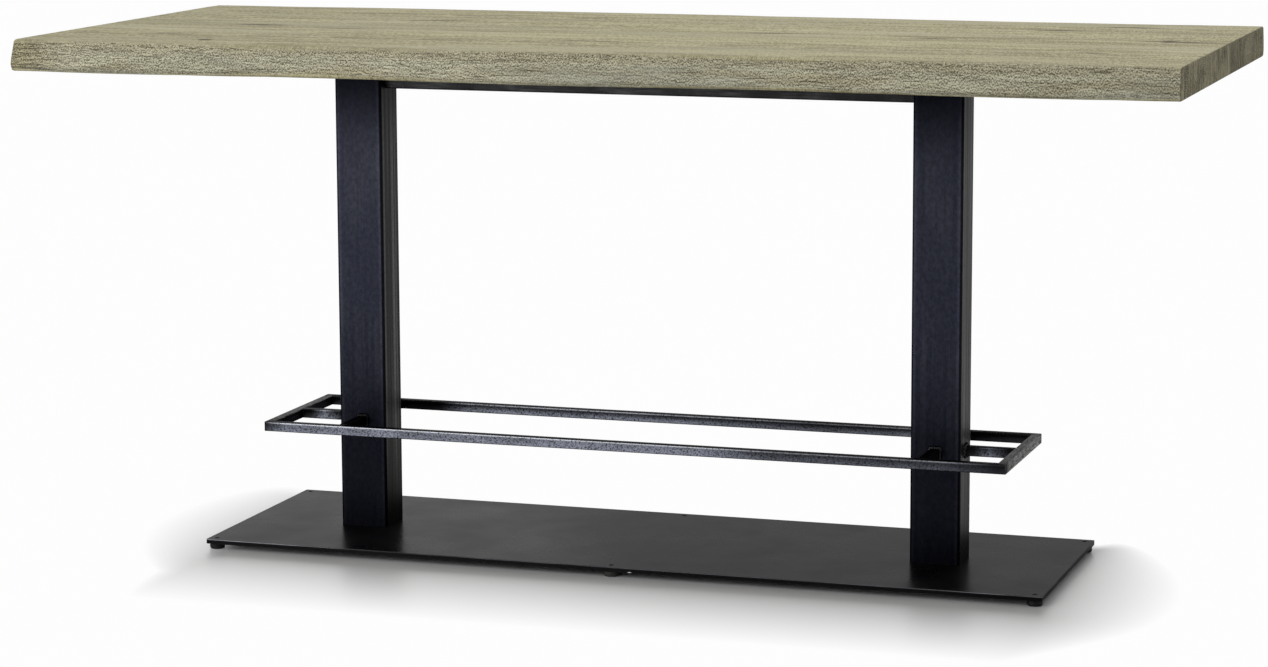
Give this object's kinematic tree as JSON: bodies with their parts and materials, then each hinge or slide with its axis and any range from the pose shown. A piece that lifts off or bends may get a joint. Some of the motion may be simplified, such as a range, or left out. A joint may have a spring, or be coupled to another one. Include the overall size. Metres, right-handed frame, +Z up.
{
  "type": "bar table",
  "caption": "Bar table: thick oak stave top with natural edges on square steel posts, with a square-tube footrest ring and a flat steel floor plate on levelling feet.",
  "frame": {"origin": "on the floor, under the middle of the table", "axes": "+X along the length of the top, +Y from front to back, +Z up"},
  "size_m": [2.39, 1.0698, 1.094],
  "materials": {
    "oak": "grey washed, matt",
    "post_steel": "satin black coat",
    "plate_steel": "matt black coat",
    "footrest_steel": "satin black coat, worn",
    "fastener_steel": "zinc plated",
    "foot_plastic": "matt"
  },
  "bodies": {
    "table": {"floor_plate": "plate_steel", "footrest_rail_back": "footrest_steel", "footrest_rail_front": "footrest_steel", "footrest_rail_left": "footrest_steel", "footrest_rail_right": "footrest_steel", "footrest_stub_left_back": "footrest_steel", "footrest_stub_left_front": "footrest_steel", "footrest_stub_left_outer": "footrest_steel", "footrest_stub_right_back": "footrest_steel", "footrest_stub_right_front": "footrest_steel", "footrest_stub_right_outer": "footrest_steel", "footrest_welds_left": "footrest_steel", "footrest_welds_right": "footrest_steel", "mounting_plate_left": "post_steel", "mounting_plate_right": "post_steel", "post_block_left": "post_steel", "post_block_right": "post_steel", "post_bolts_left": "fastener_steel", "post_bolts_right": "fastener_steel", "post_left": "post_steel", "post_right": "post_steel", "stave_back_edge": "oak", "stave_front_edge": "oak", "stave_inner_1": "oak", "stave_inner_2": "oak", "stave_inner_3": "oak", "stave_inner_4": "oak", "stave_inner_5": "oak", "top_beam": "post_steel", "top_bolts_left": "fastener_steel", "top_bolts_right": "fastener_steel", "top_inserts_left": "fastener_steel", "top_inserts_right": "fastener_steel", "top_washers_left": "fastener_steel", "top_washers_right": "fastener_steel"},
    "foot_front_left": {"foot_pad_front_left": "foot_plastic", "foot_stud_front_left": "fastener_steel"},
    "foot_front_middle": {"foot_pad_front_middle": "foot_plastic", "foot_stud_front_middle": "fastener_steel"},
    "foot_front_right": {"foot_pad_front_right": "foot_plastic", "foot_stud_front_right": "fastener_steel"},
    "foot_back_left": {"foot_pad_back_left": "foot_plastic", "foot_stud_back_left": "fastener_steel"},
    "foot_back_middle": {"foot_pad_back_middle": "foot_plastic", "foot_stud_back_middle": "fastener_steel"},
    "foot_back_right": {"foot_pad_back_right": "foot_plastic", "foot_stud_back_right": "fastener_steel"}
  },
  "joints": [
    {"name": "foot_front_left_screw", "type": "slide", "parent": "table", "child": "foot_front_left", "axis": [0, 0, -1], "range_m": [0, 0.005]},
    {"name": "foot_front_middle_screw", "type": "slide", "parent": "table", "child": "foot_front_middle", "axis": [0, 0, -1], "range_m": [0, 0.005]},
    {"name": "foot_front_right_screw", "type": "slide", "parent": "table", "child": "foot_front_right", "axis": [0, 0, -1], "range_m": [0, 0.005]},
    {"name": "foot_back_left_screw", "type": "slide", "parent": "table", "child": "foot_back_left", "axis": [0, 0, -1], "range_m": [0, 0.005]},
    {"name": "foot_back_middle_screw", "type": "slide", "parent": "table", "child": "foot_back_middle", "axis": [0, 0, -1], "range_m": [0, 0.005]},
    {"name": "foot_back_right_screw", "type": "slide", "parent": "table", "child": "foot_back_right", "axis": [0, 0, -1], "range_m": [0, 0.005]}
  ]
}
